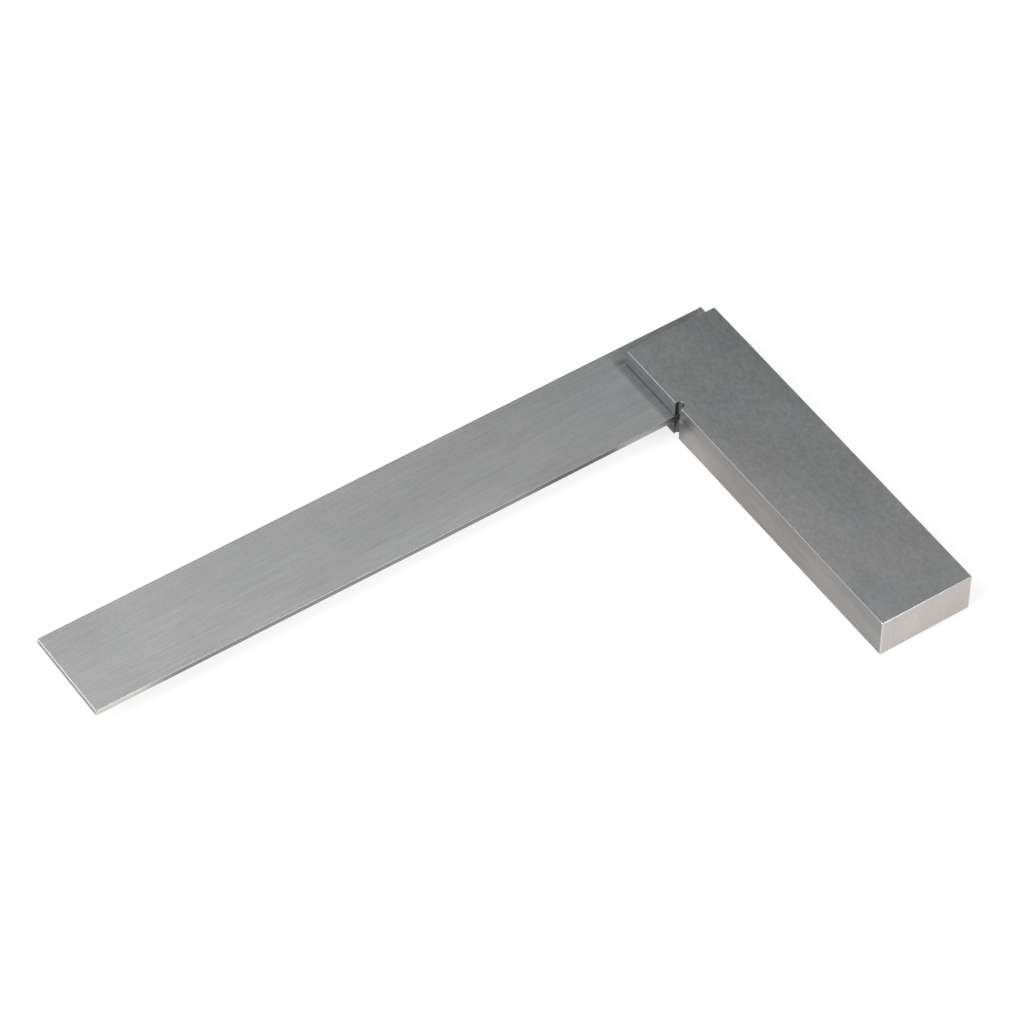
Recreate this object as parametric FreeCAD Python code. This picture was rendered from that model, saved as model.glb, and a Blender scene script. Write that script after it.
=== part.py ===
import FreeCAD, Part
import os
from FreeCAD import Vector

# Fixed steel square: a thin blade let into a slot across the end of a thick stock and held there
# by hidden dowel pins. The two legs meet at a right angle, and nothing moves.
#
# Frame: +X runs from the blade's tip towards the stock, +Y from the stock's free end towards the
# blade, and +Z up. The origin is under the middle of the whole square, level with the underside
# of the stock.

# Driving dimensions, in mm
BLADE_REACH = 150.0  # tip of the blade to the inner face of the stock
BLADE_WIDTH = 24.0
BLADE_THICKNESS = 1.6
STOCK_WIDTH = 24.0
STOCK_THICKNESS = 10.4
SHORT_LEG = 100.0  # free end of the stock to the outer edge of the blade
BLADE_OVERHANG = 5.0  # how far the blade's outer edge stands past the slotted end of the stock

STOCK_EDGE_BREAK = 0.2
BLADE_EDGE_BREAK = 0.16

RELIEF_DIAMETER = 2.0  # hole that clears the inside corner for a workpiece's burr
RELIEF_INSET_X = 0.4  # its axis, in from the inner face of the stock
RELIEF_DROP_Y = 0.65  # its axis, below the inner edge of the blade
RELIEF_COUNTERSINK = 0.18

PIN_DIAMETER = 3.0
PIN_COVER = 1.6  # steel left over a pin's blind end, so that the top face is unbroken
PIN_SPREAD = 7.0  # the outer two pins stand this far each side of the middle one
PIN_TO_SLOT_FLOOR = 6.0  # the middle pin's distance from the floor of the slot
PIN_STAGGER = 7.0  # the outer two pins stand this much further from the floor

# Planes of the square
TIP_X = -(BLADE_REACH + STOCK_WIDTH) / 2
INNER_X = TIP_X + BLADE_REACH
OUTER_X = INNER_X + STOCK_WIDTH
FREE_END_Y = -SHORT_LEG / 2
BLADE_OUTER_Y = SHORT_LEG / 2
BLADE_INNER_Y = BLADE_OUTER_Y - BLADE_WIDTH
SLOTTED_END_Y = BLADE_OUTER_Y - BLADE_OVERHANG
BLADE_Z = (STOCK_THICKNESS - BLADE_THICKNESS) / 2

PIN_CENTRES = {
    "inner_pin": (-PIN_SPREAD, PIN_TO_SLOT_FLOOR + PIN_STAGGER),
    "middle_pin": (0.0, PIN_TO_SLOT_FLOOR),
    "outer_pin": (PIN_SPREAD, PIN_TO_SLOT_FLOOR + PIN_STAGGER),
}


def block(low, high):
    """A box between two opposite corners."""
    size = Vector(*high) - Vector(*low)
    return Part.makeBox(size.x, size.y, size.z, Vector(*low))


def crosses_at(edge, x):
    """Whether the whole edge lies on the plane across the blade at x."""
    return all(abs(vertex.Point.x - x) < 1e-6 for vertex in edge.Vertexes)


def pin(name):
    """A dowel pressed in from the underside, ground flush there and ending inside the stock."""
    across, from_floor = PIN_CENTRES[name]
    centre = Vector((INNER_X + OUTER_X) / 2 + across, BLADE_INNER_Y + from_floor, 0)
    return Part.makeCylinder(PIN_DIAMETER / 2, STOCK_THICKNESS - PIN_COVER, centre)


def relief_hole():
    """The tool that drills the inside corner, with a light countersink at both faces."""
    radius = RELIEF_DIAMETER / 2
    axis = Vector(INNER_X + RELIEF_INSET_X, BLADE_INNER_Y - RELIEF_DROP_Y, 0)
    top = axis + Vector(0, 0, STOCK_THICKNESS)
    drill = Part.makeCylinder(radius, STOCK_THICKNESS, axis)
    lower_sink = Part.makeCone(radius + RELIEF_COUNTERSINK, radius, RELIEF_COUNTERSINK, axis)
    upper_sink = Part.makeCone(
        radius + RELIEF_COUNTERSINK, radius, RELIEF_COUNTERSINK, top, Vector(0, 0, -1)
    )
    return drill.fuse([lower_sink, upper_sink])


def blade_slot():
    """The slot across the end of the stock, open at the end and at both sides."""
    return block(
        (INNER_X, BLADE_INNER_Y, BLADE_Z),
        (OUTER_X, SLOTTED_END_Y, BLADE_Z + BLADE_THICKNESS),
    )


def stock(pins):
    """The thick leg, with all its outer edges broken, its slot, its relief hole and pin bores."""
    body = block((INNER_X, FREE_END_Y, 0), (OUTER_X, SLOTTED_END_Y, STOCK_THICKNESS))
    body = body.makeChamfer(STOCK_EDGE_BREAK, body.Edges)
    return body.cut([blade_slot(), relief_hole(), *pins])


def strip(start_x, end_x, sharp_planes):
    """A length of the blade, with its edges broken except for those on the sharp planes."""
    body = block(
        (start_x, BLADE_INNER_Y, BLADE_Z),
        (end_x, BLADE_OUTER_Y, BLADE_Z + BLADE_THICKNESS),
    )
    broken = [edge for edge in body.Edges if not any(crosses_at(edge, x) for x in sharp_planes)]
    return body.makeChamfer(BLADE_EDGE_BREAK, broken)


def blade(pins):
    """The thin leg: its working length, and the tongue that fills the slot. The tongue's end is
    ground flush with the stock's outer face, so it stays sharp."""
    working_length = strip(TIP_X, INNER_X, [INNER_X])
    tongue = strip(INNER_X, OUTER_X, [INNER_X, OUTER_X])
    return working_length.fuse(tongue).cut(pins)


def build():
    """Every separate piece of the square, by node name."""
    pieces = {name: pin(name) for name in PIN_CENTRES}
    pins = list(pieces.values())
    pieces["stock"] = stock(pins)
    pieces["blade"] = blade(pins)
    return pieces


os.makedirs("parts", exist_ok=True)
for name, shape in build().items():
    solid = shape.Solids[0] if len(shape.Solids) == 1 else shape
    solid.exportStep(f"parts/{name}.step")
    print(name, "solids", len(shape.Solids), "valid", solid.isValid(), "mm3", round(solid.Volume, 1))
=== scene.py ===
import math
import random

import bmesh
import bpy
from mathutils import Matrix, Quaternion, Vector, noise


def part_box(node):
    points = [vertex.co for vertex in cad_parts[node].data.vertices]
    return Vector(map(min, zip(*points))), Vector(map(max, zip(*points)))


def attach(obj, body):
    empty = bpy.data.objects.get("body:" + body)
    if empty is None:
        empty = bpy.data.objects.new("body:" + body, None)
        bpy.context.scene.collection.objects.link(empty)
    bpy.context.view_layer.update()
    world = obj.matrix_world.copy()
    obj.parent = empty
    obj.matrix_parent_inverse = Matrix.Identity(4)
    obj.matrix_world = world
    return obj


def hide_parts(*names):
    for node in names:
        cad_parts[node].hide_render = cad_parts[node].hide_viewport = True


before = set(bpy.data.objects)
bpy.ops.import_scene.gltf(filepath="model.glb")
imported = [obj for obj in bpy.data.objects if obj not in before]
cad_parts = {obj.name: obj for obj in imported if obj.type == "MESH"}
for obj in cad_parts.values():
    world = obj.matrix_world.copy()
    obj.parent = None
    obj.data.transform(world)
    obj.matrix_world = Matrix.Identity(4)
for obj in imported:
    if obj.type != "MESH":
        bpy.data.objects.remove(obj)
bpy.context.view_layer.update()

# A fixed steel square lying on a pale bench: a thin brushed blade let into a thick ground stock.
# Everything is in metres, in the frame of the CAD model: +X runs from the blade's tip to the
# stock, +Y from the stock's free end to the blade, and +Z up from the bench.

MM = 0.001

STOCK_LOW, STOCK_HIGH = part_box("stock")
BLADE_LOW, BLADE_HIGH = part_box("blade")
PIN_BOXES = {name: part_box(name) for name in ("inner_pin", "middle_pin", "outer_pin")}
INSIDE_CORNER = Vector((STOCK_LOW.x, BLADE_LOW.y, (STOCK_LOW.z + STOCK_HIGH.z) / 2))

STOCK_EDGE = 0.2 * MM  # width of the stock's broken edges
BLADE_EDGE = 0.16 * MM
FLUSH_EDGE = 0.02 * MM  # where the blade is ground off level with the stock
SLOT_GAP = 0.04 * MM  # hairline between the blade and the cheeks of its slot
BORE_GAP = 0.03 * MM  # hairline round the pins

RELIEF_RADIUS = 1.0 * MM
RELIEF_CENTRE = INSIDE_CORNER + Vector((0.4 * MM, -0.65 * MM, 0))
RELIEF_COUNTERSINK = 0.18 * MM


# ---------------------------------------------------------------- meshes

EDGE_SHARES = (0.0, 0.2, 0.8, 1.0)  # where the cuts across a broken edge lie, by its width
EDGE_FORM = 1.25  # 1 is a flat chamfer, and 2 a quarter round
EDGES_SLOT = 3  # the edges' material slot: the flats across X, Y and Z have slots 0 to 2
CUT_PITCH = 0.5 * MM  # from one cut to the next along a broken edge


def stations(low, high):
    """Cuts along one side of a block, each as (anchor, share): the cut is at the anchor plus
    that share of the broken edge's width. The shares lie at the two ends, even steps between."""
    first, length = low + CUT_PITCH, high - low - 2 * CUT_PITCH
    count = max(1, round(length / CUT_PITCH))
    steps = [first + length * i / count for i in range(count + 1)]
    start = [(low, share) for share in EDGE_SHARES]
    end = [(high, -share) for share in reversed(EDGE_SHARES)]
    return start + [(step, 0.0) for step in steps] + end


def on_broken_edge(cuts, low, high, width_at):
    """The place of the surface vertex at one cut on each axis."""
    anchor = Vector([cut[0] for cut in cuts])
    width = width_at(anchor)
    core, outward = Vector(), Vector()
    for axis, (place, share) in enumerate(cuts):
        core[axis] = place
        if place == low[axis]:
            core[axis] += width
            outward[axis] = -(1 - abs(share))
        elif place == high[axis]:
            core[axis] -= width
            outward[axis] = 1 - abs(share)
    reach = sum(abs(part) ** EDGE_FORM for part in outward) ** (1 / EDGE_FORM)
    return core + outward * (width / reach)


def stoned_block(name, low, high, width_at):
    """A block whose edges are broken to the width that width_at gives along them. The flats are
    single faces, and all the cuts are in the edges."""
    bm = bmesh.new()
    cuts = [stations(low[a], high[a]) for a in range(3)]
    last = [len(c) - 1 for c in cuts]
    rim = len(EDGE_SHARES) - 1
    made = {}

    def vertex(index):
        if index not in made:
            place = on_broken_edge([cuts[a][index[a]] for a in range(3)], low, high, width_at)
            made[index] = bm.verts.new(place)
        return made[index]

    def at(axis, level, i, j):
        index = [0, 0, 0]
        index[axis], index[(axis + 1) % 3], index[(axis + 2) % 3] = level, i, j
        return vertex(tuple(index))

    for axis in range(3):
        across, along = last[(axis + 1) % 3], last[(axis + 2) % 3]
        for level in (0, last[axis]):
            for i in range(across):
                for j in range(along):
                    if rim <= i < across - rim and rim <= j < along - rim:
                        continue
                    corners = ((i, j), (i + 1, j), (i + 1, j + 1), (i, j + 1))
                    face = bm.faces.new([at(axis, level, *c) for c in corners])
                    face.smooth = True
            bottom = [(i, rim) for i in range(rim, across - rim)]
            right = [(across - rim, j) for j in range(rim, along - rim)]
            top = [(i, along - rim) for i in range(across - rim, rim, -1)]
            left = [(rim, j) for j in range(along - rim, rim, -1)]
            flat = bm.faces.new([at(axis, level, *c) for c in bottom + right + top + left])
            flat.smooth = True
    bmesh.ops.recalc_face_normals(bm, faces=bm.faces)
    flats = sorted(bm.faces, key=lambda f: f.calc_area())[-6:]
    for face in bm.faces:
        face.material_index = EDGES_SLOT
    for face in flats:
        normal = face.normal
        face.material_index = max(range(3), key=lambda axis: abs(normal[axis]))
    mesh = bpy.data.meshes.new(name)
    bm.to_mesh(mesh)
    bm.free()
    return mesh


def bruises(low, high, count, seed):
    """Small dents at random places along the edges, as (place, depth, reach)."""
    chance = random.Random(seed)
    found = []
    for _ in range(count):
        place = Vector([chance.uniform(low[a], high[a]) for a in range(3)])
        along = chance.choices(range(3), weights=[high[a] - low[a] for a in range(3)])[0]
        for axis in range(3):
            if axis != along:
                place[axis] = chance.choice((low[axis], high[axis]))
        depth = chance.uniform(0.02, 0.07) * MM
        reach = chance.uniform(0.2, 0.5) * MM
        found.append((place, depth, reach))
    return found


def worn(nominal, low, high, count, seed):
    """Gives the function for how wide an edge is broken at a point on it: a little uneven, with
    a number of small dents."""
    dents = bruises(low, high, count, seed)

    def width_at(point):
        slow = 0.16 * noise.noise(point / (6 * MM))
        quick = 0.12 * noise.noise(point / (1.1 * MM))
        dent = sum(depth * math.exp(-(((point - place).length / reach) ** 2))
                   for place, depth, reach in dents)
        return nominal * (1 + slow + quick) + dent

    return width_at


def shown_object(mesh, materials):
    """An object in the scene with the mesh's name, and the materials in its slots."""
    for material in materials:
        mesh.materials.append(material)
    piece = bpy.data.objects.new(mesh.name, mesh)
    bpy.context.scene.collection.objects.link(piece)
    return piece


def box_mesh(name, low, high):
    bm = bmesh.new()
    bmesh.ops.create_cube(bm, size=1)
    for v in bm.verts:
        v.co = Vector([low[a] if v.co[a] < 0 else high[a] for a in range(3)])
    mesh = bpy.data.meshes.new(name)
    bm.to_mesh(mesh)
    bm.free()
    return mesh


def turned_mesh(name, centre, profile, sides):
    """A closed solid turned about Z through centre, from (height, radius) points. Its sloping
    faces take the second material."""
    bm = bmesh.new()
    rings = []
    for height, radius in profile:
        ring = []
        for i in range(sides):
            angle = 2 * math.pi * i / sides
            x = centre.x + radius * math.cos(angle)
            y = centre.y + radius * math.sin(angle)
            ring.append(bm.verts.new((x, y, height)))
        rings.append(ring)
    for k in range(len(rings) - 1):
        lower, upper = rings[k], rings[k + 1]
        for i in range(sides):
            j = (i + 1) % sides
            face = bm.faces.new((lower[i], lower[j], upper[j], upper[i]))
            face.smooth = True
            face.material_index = int(profile[k][1] != profile[k + 1][1])
    bm.faces.new(reversed(rings[0]))
    bm.faces.new(rings[-1])
    mesh = bpy.data.meshes.new(name)
    bm.to_mesh(mesh)
    bm.free()
    return mesh


def cut(piece, tools):
    """Cuts the tools out of the piece, whose new faces take the tools' materials, and removes
    the tools."""
    for tool in tools:
        change = piece.modifiers.new("cut", "BOOLEAN")
        change.operation = "DIFFERENCE"
        change.solver = "EXACT"
        change.material_mode = "TRANSFER"
        change.object = tool
    bpy.context.view_layer.update()
    graph = bpy.context.evaluated_depsgraph_get()
    result = bpy.data.meshes.new_from_object(piece.evaluated_get(graph), depsgraph=graph)
    piece.modifiers.clear()
    piece.data = result
    for tool in tools:
        bpy.data.objects.remove(tool)


def keep_flats_flat(piece):
    """Smooth shading over the broken edges, with the large faces shaded dead flat."""
    normals = piece.modifiers.new("normals", "WEIGHTED_NORMAL")
    normals.weight = 100
    normals.keep_sharp = True


def relief_drill():
    """The hole at the inside corner, with a light countersink at each face."""
    past = 1 * MM
    bottom, top, sink = STOCK_LOW.z, STOCK_HIGH.z, RELIEF_COUNTERSINK
    radius, wide = RELIEF_RADIUS, RELIEF_RADIUS + RELIEF_COUNTERSINK
    profile = [
        (bottom - past, wide + past), (bottom, wide), (bottom + sink, radius),
        (top - sink, radius), (top, wide), (top + past, wide + past),
    ]
    return turned_mesh("relief", RELIEF_CENTRE, profile, sides=64)


def slot_tool():
    """The slot for the blade, open at the end of the stock and at both of its sides."""
    past = 2 * MM
    low = Vector((STOCK_LOW.x - past, BLADE_LOW.y, BLADE_LOW.z - SLOT_GAP))
    high = Vector((STOCK_HIGH.x + past, STOCK_HIGH.y + past, BLADE_HIGH.z + SLOT_GAP))
    return box_mesh("slot", low, high)


def pin_bore(name):
    """The bore of one pin, open at the underside."""
    low, high = PIN_BOXES[name]
    past = 1 * MM
    radius = (high.x - low.x) / 2 + BORE_GAP
    profile = [(low.z - past, radius), (high.z + BORE_GAP, radius)]
    return turned_mesh(name + "_bore", (low + high) / 2, profile, sides=48)


# ---------------------------------------------------------------- materials


class Graph:
    """The node tree of one steel finish, with short ways to add nodes and links."""

    def __init__(self, name):
        self.material = bpy.data.materials.new(name)
        self.material.use_nodes = True
        self.tree = self.material.node_tree
        self.shader = self.tree.nodes["Principled BSDF"]
        self.place = self.node("ShaderNodeTexCoord").outputs["Object"]

    def node(self, kind, **settings):
        made = self.tree.nodes.new(kind)
        for key, value in settings.items():
            setattr(made, key, value)
        return made

    def feed(self, socket, value):
        if isinstance(value, bpy.types.NodeSocket):
            self.tree.links.new(value, socket)
        else:
            socket.default_value = value

    def maths(self, operation, a, b=0.0, c=0.0):
        made = self.node("ShaderNodeMath", operation=operation)
        for socket, value in zip(made.inputs, (a, b, c)):
            self.feed(socket, value)
        return made.outputs[0]

    def vector(self, operation, a, b=(0, 0, 0)):
        made = self.node("ShaderNodeVectorMath", operation=operation)
        self.feed(made.inputs[0], a)
        self.feed(made.inputs[1], b)
        return made.outputs["Value" if operation == "LENGTH" else "Vector"]

    def axes(self, value):
        made = self.node("ShaderNodeSeparateXYZ")
        self.feed(made.inputs[0], value)
        return made.outputs["X"], made.outputs["Y"], made.outputs["Z"]

    def total(self, start, *parts):
        """start plus each (value, weight) of the parts."""
        for value, weight in parts:
            start = self.maths("MULTIPLY_ADD", value, weight, start)
        return start

    def product(self, a, b):
        """a times b."""
        return self.maths("MULTIPLY", a, b)

    def grain(self, size, seed, detail=2.0):
        """Noise from about -1 to 1, whose features are size long on each axis, in millimetres."""
        scaled = self.vector("DIVIDE", self.place, [s * MM for s in size])
        shifted = self.vector("ADD", scaled, (seed, seed * 1.7, seed * 0.6))
        made = self.node("ShaderNodeTexNoise", noise_dimensions="3D")
        self.feed(made.inputs["Vector"], shifted)
        made.inputs["Scale"].default_value = 1.0
        made.inputs["Detail"].default_value = detail
        return self.maths("MULTIPLY_ADD", made.outputs["Fac"], 2.0, -1.0)

    def spread(self, value, low, high, to_low=0.0, to_high=1.0):
        """Maps a range to another smoothly, clamped at both ends."""
        made = self.node("ShaderNodeMapRange", interpolation_type="SMOOTHSTEP")
        for key, number in (("Value", value), ("From Min", low), ("From Max", high),
                            ("To Min", to_low), ("To Max", to_high)):
            self.feed(made.inputs[key], number)
        return made.outputs["Result"]

    def fade(self, value, full, end):
        """1 where the value is at full, and 0 from the end on."""
        return self.spread(value, full, end, 1.0, 0.0)

    def window(self, value, start, full, fading, end):
        """1 from full until fading, and 0 before the start and after the end."""
        return self.product(self.spread(value, start, full), self.fade(value, fading, end))

    def spot(self, centre, reach, seed):
        """1 in the middle of a soft ragged spot, and 0 from its reach on each axis outwards."""
        offset = self.vector("DIVIDE", self.vector("SUBTRACT", self.place, centre), reach)
        ragged = self.grain((1.4, 1.4, 1.4), seed)
        distance = self.total(self.vector("LENGTH", offset), (ragged, 0.3))
        return self.fade(distance, 0.1, 1.0)

    def specks(self, size, seed, reach=0.1, share=0.4):
        """1 inside small spots, of which there is at most one in each cell of the size given, on
        each axis in millimetres, and only in a share of the cells."""
        scaled = self.vector("DIVIDE", self.place, [s * MM for s in size])
        cells = self.node("ShaderNodeTexVoronoi", voronoi_dimensions="3D", feature="F1")
        self.feed(cells.inputs["Vector"], self.vector("ADD", scaled, (seed, seed, seed)))
        cells.inputs["Scale"].default_value = 1.0
        inside = self.fade(cells.outputs["Distance"], reach * 0.4, reach)
        chosen = self.maths("LESS_THAN", self.axes(cells.outputs["Color"])[0], share)
        return self.product(inside, chosen)

    def from_edge(self, low, high):
        """How far a point on a face of the block is from the face's nearest edge. The
        nearest face is its own, so this is the second smallest distance of the three."""
        centre, half = (low + high) / 2, (high - low) / 2
        offset = self.vector("ABSOLUTE", self.vector("SUBTRACT", self.place, centre))
        inward = self.vector("SUBTRACT", half, offset)
        a, b, c = self.axes(inward)
        nearer, farther = self.maths("MINIMUM", a, b), self.maths("MAXIMUM", a, b)
        return self.maths("MAXIMUM", nearer, self.maths("MINIMUM", farther, c))

    def bump(self, height, distance):
        made = self.node("ShaderNodeBump")
        made.inputs["Strength"].default_value = 1.0
        made.inputs["Distance"].default_value = distance
        self.feed(made.inputs["Height"], height)
        return made.outputs["Normal"]

    def colour(self, level, warmth):
        """A grey of that level, linear: redder and less blue where the warmth is above 0, and
        the other way below."""
        mixed = self.node("ShaderNodeCombineColor")
        self.feed(mixed.inputs["Red"], self.maths("MULTIPLY_ADD", level, warmth, level))
        self.feed(mixed.inputs["Green"], level)
        less = self.total(0.0, (warmth, -0.25), (self.maths("MAXIMUM", warmth, 0.0), -0.4))
        self.feed(mixed.inputs["Blue"], self.maths("MULTIPLY_ADD", level, less, level))
        return mixed.outputs[0]

    def steel(self, level, warmth, roughness, height, relief):
        """Bare metal of that colour and roughness, whose height is in shares of the relief."""
        self.feed(self.shader.inputs["Base Color"], self.colour(level, warmth))
        self.feed(self.shader.inputs["Roughness"], roughness)
        self.feed(self.shader.inputs["Normal"], self.bump(height, relief))
        self.shader.inputs["Metallic"].default_value = 1.0
        return self.material

    def drawn(self, along, strength):
        """Spreads the highlights along one direction, across the scratches."""
        direction = self.node("ShaderNodeCombineXYZ")
        for socket, value in zip(direction.inputs, along):
            socket.default_value = value
        self.shader.inputs["Anisotropic"].default_value = strength
        self.feed(self.shader.inputs["Tangent"], direction.outputs[0])


def brushed_faces():
    """The blade's two faces: brushed lengthwise, so that long fine scratches run along X. They
    are brighter in mid length along the inner edge, and darker with painted shade towards the
    stock, its far corner and past its end. At the stock's foot they carry its painted shadow and
    reflection, and round its far corner a painted reflection and a brown stain."""
    g = Graph("brushed_faces")
    hair = g.grain((24, 0.5, 0.5), seed=3)
    brush = g.grain((5, 0.3, 0.3), seed=11)
    tooth = g.grain((0.4, 0.28, 0.28), seed=5, detail=1)
    cloud = g.grain((34, 9, 9), seed=8)
    tint = g.grain((1.4, 0.5, 0.5), seed=14)
    haze = g.grain((26, 12, 12), seed=16)
    wear_and_highlight = g.fade(g.from_edge(BLADE_LOW, BLADE_HIGH), 0.0, 0.5 * MM)
    x, y, _ = g.axes(g.place)

    # Next to the stock, its painted shadow and reflection: a dark hairline at its foot, a dark
    # band, and a slightly bright strip past it
    out = g.maths("ABSOLUTE", g.maths("SUBTRACT", x, STOCK_LOW.x))
    beside = g.fade(y, STOCK_HIGH.y - 0.4 * MM, STOCK_HIGH.y)
    painted_foot_shade = g.product(beside, g.fade(out, 0.1 * MM, 0.3 * MM))
    painted_reflection_band = g.product(beside, g.fade(out, 1.8 * MM, 2.6 * MM))
    painted_bright_strip = g.window(out, 1.9 * MM, 2.5 * MM, 3 * MM, 5 * MM)

    # Wide differences along and across the blade, with painted shade towards the stock, at its
    # far corner and past its end
    tip = at_tip(g)
    tip_outer = g.product(tip, g.spread(y, BLADE_LOW.y + 8 * MM, BLADE_HIGH.y - 4 * MM))
    # Brighter along the inner edge in mid length
    brighter_by_inner_edge = g.product(g.fade(y, BLADE_LOW.y + 2 * MM, BLADE_LOW.y + 8 * MM), mid_length(g))
    painted_shade_near_stock = g.spread(x, STOCK_LOW.x - 50 * MM, STOCK_LOW.x)
    painted_shade_far_corner = g.product(painted_shade_near_stock, g.spread(y, BLADE_LOW.y, BLADE_HIGH.y))
    painted_shade_beyond = g.product(g.spread(y, STOCK_HIGH.y - 0.5 * MM, STOCK_HIGH.y + 1 * MM),
                       g.spread(x, STOCK_LOW.x - 2 * MM, STOCK_LOW.x + 4 * MM))

    # At the stock's far corner a painted reflection of the corner, and a brown stain past the
    # stock's end
    corner = Vector((STOCK_LOW.x - 0.8 * MM, STOCK_HIGH.y + 1.0 * MM, BLADE_HIGH.z))
    painted_corner_reflection = g.spot(corner, (2.3 * MM, 1.4 * MM, 1 * MM), seed=6)
    brown = g.spot(corner + Vector((20 * MM, 2.8 * MM, 0)), (6 * MM, 1.4 * MM, 1 * MM), seed=2)

    streaks = g.total(0.0, (hair, 0.5), (brush, 0.5))
    tone = g.total(1.0, (streaks, 0.25), (tooth, 0.125), (cloud, 0.055), (wear_and_highlight, 0.03),
                   (painted_foot_shade, -0.30), (painted_reflection_band, -0.15), (painted_bright_strip, 0.07), (painted_shade_near_stock, -0.07),
                   (painted_shade_far_corner, -0.09), (tip, -0.06), (tip_outer, -0.06), (brighter_by_inner_edge, 0.09),
                   (painted_shade_beyond, -0.18), (painted_corner_reflection, -0.26), (brown, -0.12))
    level = g.product(tone, 0.615)
    warmth = g.total(-0.006, (tint, 0.085), (haze, 0.045), (painted_shade_near_stock, -0.04), (brown, 0.05),
                     (brighter_by_inner_edge, -0.01))
    roughness = g.total(0.37, (streaks, 0.06), (cloud, 0.03))
    g.drawn((0, 1, 0), 0.9)
    return g.steel(level, warmth, roughness, streaks, 0.004 * MM)


def ground_edges():
    """The blade's long narrow edges: ground lengthwise, with painted reflections that make them
    bright near the tip and where they come up to the stock, and dark for a stretch before that."""
    g = Graph("ground_edges")
    lines = g.grain((16, 0.4, 0.35), seed=6)
    slow = g.grain((14, 8, 1.4), seed=12)
    slant = g.grain((0.5, 0.5, 0.5), seed=19)
    x = g.axes(g.place)[0]
    tip = at_tip(g)
    # Painted reflections along the edges: bright at the tip and by the stock, dark before it
    past_start = g.spread(x, STOCK_LOW.x - 16.5 * MM, STOCK_LOW.x - 12 * MM)
    before_stock = g.spread(x, STOCK_LOW.x - 8 * MM, STOCK_LOW.x - 2 * MM, 1.0, 0.3)
    painted_reflection_by_stock = g.product(past_start, before_stock)
    bright = g.maths("MAXIMUM", tip, painted_reflection_by_stock)
    painted_dark_stretch = g.window(x, STOCK_LOW.x - 42 * MM, STOCK_LOW.x - 30 * MM,
                    STOCK_LOW.x - 18 * MM, STOCK_LOW.x - 15 * MM)
    level = g.total(0.238, (lines, 0.03), (slow, 0.04), (slant, 0.04), (tip, 0.34),
                    (painted_reflection_by_stock, 0.12), (painted_dark_stretch, -0.105))
    warmth = g.total(0.04, (bright, 0.05), (slow, 0.02))
    roughness = g.total(0.38, (lines, 0.05), (bright, 0.03))
    return g.steel(level, warmth, roughness, lines, 0.004 * MM)


def ground_steel(name, level, warmth, lay, mottled=0.18, lined=0.06, clouded=0.065, patches_and_painted_light=(),
                 block=(STOCK_LOW, STOCK_HIGH)):
    """A flat of the block. The lay is the size of its grinding marks on each axis, in
    millimetres. It has faint warm and cool patches, painted glints, and is worn brighter along
    its rim. Each extra patch, many of them painted light and shade, is a function that gives its
    place in the graph, and its change of tone and of warmth."""
    g = Graph(name)
    mottle = g.grain((0.68, 1.0, 0.68), seed=7)
    lines = g.grain(lay, seed=2)
    cloud = g.grain((11, 16, 11), seed=21)
    tint = g.grain((0.6, 0.8, 0.6), seed=15)
    haze = g.grain((14, 18, 14), seed=23)
    # Painted glints: small bright specks standing in for light off fine dents
    painted_glints = g.specks((5, 6, 5), seed=4, reach=0.022)
    nicks_and_glints = g.specks((7, 2.2, 7), seed=9, reach=0.016)
    wear_and_highlight = g.fade(g.from_edge(*block), 0.0, 0.6 * MM)
    tone = g.total(1.0, (mottle, mottled), (lines, lined), (cloud, clouded), (wear_and_highlight, 0.05),
                   (painted_glints, 0.30), (nicks_and_glints, -0.25))
    warmth = g.total(warmth, (tint, 0.135), (haze, 0.08))
    for where, tone_change, warmth_change in patches_and_painted_light:
        share = where(g)
        tone = g.total(tone, (share, tone_change))
        warmth = g.total(warmth, (share, warmth_change))
    roughness = g.total(0.40, (mottle, 0.05), (cloud, 0.03), (wear_and_highlight, -0.05))
    height = g.total(0.0, (mottle, 0.6), (lines, 0.4), (nicks_and_glints, -1.5))
    return g.steel(g.product(tone, level), warmth, roughness, height, 0.005 * MM)


def far_half(g):
    """The stock's top towards the blade, which is cooler in colour and darker with painted shade.
    """
    return g.spread(g.axes(g.place)[1], STOCK_LOW.y + 30 * MM, STOCK_HIGH.y)


def far_side(g):
    """The stock's top along its outer side, but for its free end."""
    x, y, _ = g.axes(g.place)
    return g.product(g.spread(x, STOCK_LOW.x + 4 * MM, STOCK_HIGH.x - 4 * MM),
                     g.spread(y, STOCK_LOW.y + 18 * MM, STOCK_LOW.y + 48 * MM))


def inner_side(g):
    """The stock's top along its inner side."""
    return g.fade(g.axes(g.place)[0], STOCK_LOW.x + 1 * MM, STOCK_LOW.x + 5 * MM)


def last_part(g):
    """The stock's top near its free end."""
    return g.fade(g.axes(g.place)[1], STOCK_LOW.y + 3 * MM, STOCK_LOW.y + 18 * MM)


def on_inner_face(g, y_none, y_full, z_none, z_full):
    """A part of the stock's inner face: on each axis it goes from 0 to 1 between the two
    values, in either direction."""
    x, y, z = g.axes(g.place)
    inner = g.fade(x, STOCK_LOW.x + 1 * MM, STOCK_LOW.x + 2 * MM)
    return g.product(inner, g.product(g.spread(y, y_none, y_full), g.spread(z, z_none, z_full)))


def over_blade(g):
    """The inner face above the blade, where it reflects the blade."""
    return on_inner_face(g, BLADE_LOW.y - 0.5 * MM, BLADE_LOW.y + 0.5 * MM,
                         BLADE_LOW.z, BLADE_HIGH.z)


def painted_shade_under_blade(g):
    """The inner face under the blade: painted shade, where the blade shades it."""
    return on_inner_face(g, BLADE_LOW.y - 1.5 * MM, BLADE_LOW.y - 0.5 * MM,
                         BLADE_HIGH.z, BLADE_LOW.z)


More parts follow.
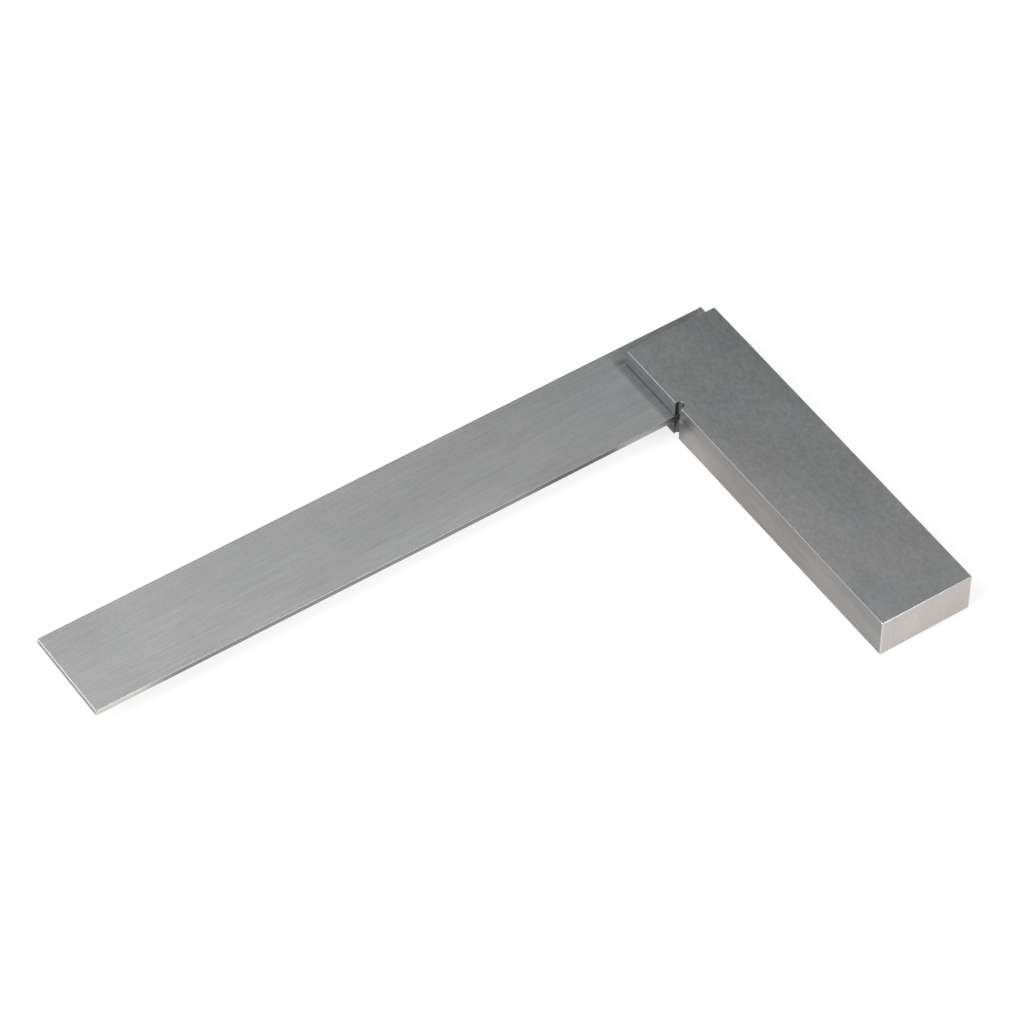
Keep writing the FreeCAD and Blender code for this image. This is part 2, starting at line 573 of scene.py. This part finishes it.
def painted_reflection_beside_relief(g):
    """A soft dark band on the inner face next to the relief hole: a painted reflection of the
    shade under the blade. It slants, further from the hole the higher it is, and is fainter near
    the top."""
    _, y, z = g.axes(g.place)
    slant = 0.6
    away = g.total(BLADE_LOW.y + slant * BLADE_LOW.z, (y, -1.0), (z, -slant))
    painted_reflection_band = g.window(away, 0.0, 1.5 * MM, 2.2 * MM, 5.6 * MM)
    return g.product(painted_reflection_band, on_inner_face(
        g, BLADE_LOW.y, BLADE_LOW.y - 0.5 * MM, STOCK_HIGH.z + 1.5 * MM, STOCK_HIGH.z - 3 * MM))


def upper_inner(g):
    """The upper half of the inner face, but not above the blade."""
    return on_inner_face(g, BLADE_LOW.y, BLADE_LOW.y - 1 * MM,
                         BLADE_LOW.z, STOCK_HIGH.z - 1 * MM)


def lower_inner(g):
    """The lower half of the inner face, near the relief hole."""
    return on_inner_face(g, BLADE_LOW.y - 16 * MM, BLADE_LOW.y - 10 * MM,
                         BLADE_HIGH.z + 0.5 * MM, BLADE_LOW.z - 1 * MM)


def painted_burr_glint(g):
    """A painted glint: a short bright mark next to the relief hole, where a small burr catches
    the light.
    """
    centre = Vector((STOCK_LOW.x, BLADE_LOW.y - 2.3 * MM, BLADE_HIGH.z + 0.2 * MM))
    return g.spot(centre, (1 * MM, 0.9 * MM, 0.35 * MM), seed=5)


def darker_middle(g):
    """The middle of the stock's length, which is a little darker."""
    return g.window(g.axes(g.place)[1], BLADE_LOW.y - 54 * MM, BLADE_LOW.y - 44 * MM,
                    BLADE_LOW.y - 22 * MM, BLADE_LOW.y - 15 * MM)


def at_tip(g):
    """The end of the blade."""
    return g.fade(g.axes(g.place)[0], BLADE_LOW.x + 8 * MM, BLADE_LOW.x + 21 * MM)


def mid_length(g):
    """The middle of the blade's working length."""
    return g.window(g.axes(g.place)[0], BLADE_LOW.x + 20 * MM, BLADE_LOW.x + 45 * MM,
                    STOCK_LOW.x - 55 * MM, STOCK_LOW.x - 30 * MM)


def towards_tip(g):
    """Where the blade's edges carry a painted highlight: most at the tip, and hardly at all near
    the stock.
    """
    x = g.axes(g.place)[0]
    return g.maths("MAXIMUM", at_tip(g),
                   g.spread(x, BLADE_LOW.x + 70 * MM, STOCK_LOW.x - 10 * MM, 0.5, 0.0))


def at_free_end(g):
    """Where the stock's edges carry a painted highlight: its free end, brightest near its inner
    corner. The slotted end is less than 0, as its edges are painted duller than the long ones."""
    x, y, _ = g.axes(g.place)
    end = g.fade(y, STOCK_LOW.y + 0.4 * MM, STOCK_LOW.y + 0.8 * MM)
    slotted = g.spread(y, STOCK_HIGH.y - 0.5 * MM, STOCK_HIGH.y - 0.2 * MM)
    free = g.product(end, g.spread(x, STOCK_LOW.x + 8 * MM, STOCK_HIGH.x, 1.0, 0.4))
    return g.total(free, (slotted, -0.25))


def stoned_edges(name, level, warmth, wear_and_highlight, bright):
    """Broken edges, stoned smooth, with painted glints at a few nicks. The function passed in
    gives where the edges carry a painted highlight: there their level goes to the bright one, and
    their colour to a plain grey."""
    g = Graph(name)
    marks = g.grain((0.9, 0.9, 0.9), seed=9, detail=3)
    slow = g.grain((9, 9, 9), seed=13)
    # Painted glints at a few nicks
    nicks_and_glints = g.specks((6, 6, 6), seed=8, reach=0.07)
    share = wear_and_highlight(g)
    tone = g.total(1.0, (marks, 0.12), (slow, 0.16), (nicks_and_glints, 0.6))
    level = g.product(tone, g.total(level, (share, bright - level)))
    warmth = g.total(warmth, (share, -warmth), (slow, 0.01))
    roughness = g.total(0.26, (marks, 0.08))
    return g.steel(level, warmth, roughness, marks, 0.002 * MM)


def drilled_steel():
    """The walls of the relief hole and the pin bores, with the rings of the drill."""
    g = Graph("drilled_steel")
    rings = g.grain((3, 3, 0.18), seed=4)
    dirt = g.grain((0.6, 0.6, 1.5), seed=10)
    level = g.total(0.13, (rings, 0.05), (dirt, 0.06))
    warmth = g.product(dirt, 0.05)
    roughness = g.total(0.42, (dirt, 0.1))
    return g.steel(level, warmth, roughness, rings, 0.03 * MM)


def pin_steel(centres, radius):
    """The pins' ends, ground level with the stock, with a fine dark line round each."""
    g = Graph("pin_steel")
    lines = g.grain((0.3, 9, 0.3), seed=2)
    x, y, _ = g.axes(g.place)
    line = 0.0
    for centre in centres:
        flat = g.node("ShaderNodeCombineXYZ")
        g.feed(flat.inputs["X"], g.maths("SUBTRACT", x, centre.x))
        g.feed(flat.inputs["Y"], g.maths("SUBTRACT", y, centre.y))
        out = g.vector("LENGTH", flat.outputs[0])
        ring = g.window(out, radius - 0.16 * MM, radius - 0.06 * MM,
                        radius + 0.5 * MM, radius + 0.6 * MM)
        line = g.maths("MAXIMUM", line, ring)
    level = g.total(0.50, (lines, 0.05), (line, -0.38))
    warmth = g.total(0.0, (line, 0.06))
    roughness = g.total(0.36, (line, 0.2))
    return g.steel(level, warmth, roughness, g.product(line, -1.0), 0.02 * MM)


def bench_material():
    """A white translucent sheet lit from below, so that shadows on it stay faint."""
    g = Graph("bench")
    speckle = g.grain((2, 2, 2), seed=1)
    level = g.total(0.30, (speckle, 0.005))
    g.feed(g.shader.inputs["Base Color"], g.colour(level, g.total(0.0, (speckle, 0.002))))
    g.shader.inputs["Roughness"].default_value = 0.8
    g.shader.inputs["Specular IOR Level"].default_value = 0.0
    g.shader.inputs["Emission Color"].default_value = (0.765, 0.765, 0.765, 1)
    g.shader.inputs["Emission Strength"].default_value = 1.0
    return g.material


def stock_finishes():
    """The finishes of the stock's flats across X, Y and Z, and of its edges. Beside their grind,
    the flats are set apart in level and warmth by which way they face, as painted light and
    shade: the sides darkest, the ends lightest, and both warm as a painted reflection of the
    bench.
    """
    sides = ground_steel(
        "ground_sides", level=0.276, warmth=0.046, lay=(0.4, 7, 0.4),
        mottled=0.12, lined=0.22, clouded=0.10, patches_and_painted_light=[
            (over_blade, -0.09, -0.07), (painted_shade_under_blade, -0.80, 0.02),
            (painted_reflection_beside_relief, -0.62, -0.05), (darker_middle, -0.11, 0.0), (painted_burr_glint, 1.1, 0.0),
            (upper_inner, -0.11, 0.0), (lower_inner, 0.14, 0.0)])
    ends = ground_steel(
        "ground_ends", level=0.490, warmth=0.062, lay=(0.4, 0.4, 1.2),
        mottled=0.15, clouded=0.13)
    faces = ground_steel(
        "ground_faces", level=0.412, warmth=-0.009, lay=(0.35, 7, 0.35), patches_and_painted_light=[
            (far_half, -0.10, -0.045), (far_side, -0.08, -0.010), (inner_side, 0.09, 0.0),
            (last_part, 0.04, -0.030)])
    edges = stoned_edges("stock_edges", level=0.28, warmth=-0.06, wear_and_highlight=at_free_end, bright=0.60)
    return [sides, ends, faces, edges]


def blade_finishes():
    """The finishes of the blade's flats across X, Y and Z, and of its broken edges. The long
    edges are much darker than the brushed faces, for their grind and as painted shade.
    """
    tip = ground_steel(
        "ground_tip", level=0.265, warmth=0.115, lay=(0.3, 3, 0.3), block=(BLADE_LOW, BLADE_HIGH))
    long_edges = ground_edges()
    faces = brushed_faces()
    broken = stoned_edges("blade_edges", level=0.26, warmth=0.01, wear_and_highlight=towards_tip, bright=0.60)
    return [tip, long_edges, faces, broken]


# ---------------------------------------------------------------- pieces


def make_stock(finishes, drilled):
    """The thick leg, with its slot, its relief hole and the bores of the pins."""
    _, _, faces, edges = finishes
    width_at = worn(STOCK_EDGE, STOCK_LOW, STOCK_HIGH, count=26, seed=41)
    block = stoned_block("ground_stock", STOCK_LOW, STOCK_HIGH, width_at)
    piece = shown_object(block, finishes)
    cut(piece, [
        shown_object(slot_tool(), [faces]),
        shown_object(relief_drill(), [drilled, edges]),
        *[shown_object(pin_bore(name), [drilled]) for name in PIN_BOXES],
    ])
    keep_flats_flat(piece)
    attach(piece, "root")
    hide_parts("stock")


def make_blade(finishes):
    """The thin leg, one strip with the tongue that fills the slot."""
    uneven = worn(BLADE_EDGE, BLADE_LOW, BLADE_HIGH, count=34, seed=17)

    def width_at(point):
        return FLUSH_EDGE if point.x == BLADE_HIGH.x else uneven(point)

    piece = shown_object(stoned_block("brushed_blade", BLADE_LOW, BLADE_HIGH, width_at), finishes)
    keep_flats_flat(piece)
    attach(piece, "root")
    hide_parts("blade")


def finish_pins():
    """The pins keep their own shape, and get a finish."""
    centres = [(low + high) / 2 for low, high in PIN_BOXES.values()]
    low, high = PIN_BOXES["middle_pin"]
    material = pin_steel(centres, (high.x - low.x) / 2)
    for name in PIN_BOXES:
        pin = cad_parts[name]
        pin.data.materials.clear()
        pin.data.materials.append(material)


# ---------------------------------------------------------------- stage


SOFTBOX_DISTANCE = 2.88  # from the middle of the square


def direction(azimuth, elevation):
    """Outwards from the middle, for angles in radians: azimuth 0 is the -Y side, and a quarter
    turn the +X side."""
    return Vector((
        math.sin(azimuth) * math.cos(elevation),
        -math.cos(azimuth) * math.cos(elevation),
        math.sin(elevation),
    ))


def add_bench():
    """A level sheet, far larger than the square."""
    half = 8.0
    bm = bmesh.new()
    bmesh.ops.create_grid(bm, x_segments=1, y_segments=1, size=half)
    mesh = bpy.data.meshes.new("bench")
    bm.to_mesh(mesh)
    bm.free()
    bench = shown_object(mesh, [bench_material()])
    bench.location.z = -0.03 * MM  # clear of the stock's underside, which lies in the plane at 0


def add_softbox(name, place, size, radiance):
    """A rectangular area light that faces the middle of the bench."""
    lamp = bpy.data.lights.new(name, "AREA")
    lamp.shape = "RECTANGLE"
    lamp.size, lamp.size_y = size
    lamp.energy = math.pi * size[0] * size[1] * radiance  # all that a flat light sends out
    holder = bpy.data.objects.new(name, lamp)
    holder.location = place
    holder.rotation_mode = "QUATERNION"
    holder.rotation_quaternion = (-holder.location).to_track_quat("-Z", "Y")
    bpy.context.scene.collection.objects.link(holder)


def add_light():
    """Plain soft studio light: softboxes overhead and on every side, in a dim room whose walls
    look pale to the camera."""
    world = bpy.data.worlds.new("studio")
    world.use_nodes = True
    bpy.context.scene.world = world
    tree = world.node_tree
    rays = tree.nodes.new("ShaderNodeLightPath")
    walls = tree.nodes.new("ShaderNodeMix")
    walls.data_type = "RGBA"
    walls.inputs["A"].default_value = (0.2, 0.2, 0.2, 1)
    walls.inputs["B"].default_value = (0.92, 0.92, 0.92, 1)
    tree.links.new(rays.outputs["Is Camera Ray"], walls.inputs["Factor"])
    tree.links.new(walls.outputs["Result"], tree.nodes["Background"].inputs["Color"])
    add_softbox("overhead_strip", (0, 0, 2.1), (3.84, 1.28), 0.86)
    for name, azimuth, elevation, size, radiance in (
        # angles in degrees, sizes in metres
        ("overhead", 180, 60, (1.78, 1.78), 1.0),
        ("front", 24, 31, (1.92, 1.44), 2.2),
        ("right", 90, 25, (1.92, 1.44), 1.0),
        ("left", 270, 25, (1.92, 1.44), 3.5),
        ("high_left", 270, 52, (1.44, 1.44), 4.6),
        ("rim", 235, 22, (1.92, 1.44), 2.0),
    ):
        place = direction(math.radians(azimuth), math.radians(elevation)) * SOFTBOX_DISTANCE
        add_softbox(name, place, size, radiance)


def add_camera():
    """A long lens at the photo's viewing angle, which looks down over the inside corner."""
    azimuth, elevation, roll = math.radians(-35.0), math.radians(49.18), math.radians(0.93)
    distance = 1.212
    target = INSIDE_CORNER + Vector((-45.3 * MM, -2.3 * MM, 0))
    back = direction(azimuth, elevation)
    lens = bpy.data.cameras.new("camera")
    lens.sensor_width = 36
    lens.lens = 195.6
    camera = bpy.data.objects.new("camera", lens)
    camera.location = target + back * distance
    camera.rotation_mode = "QUATERNION"
    camera.rotation_quaternion = (-back).to_track_quat("-Z", "Y") @ Quaternion((0, 0, 1), roll)
    bpy.context.scene.collection.objects.link(camera)
    bpy.context.scene.camera = camera


add_camera()
add_bench()
add_light()
make_stock(stock_finishes(), drilled_steel())
make_blade(blade_finishes())
finish_pins()

bpy.context.scene.view_settings.view_transform = "Standard"
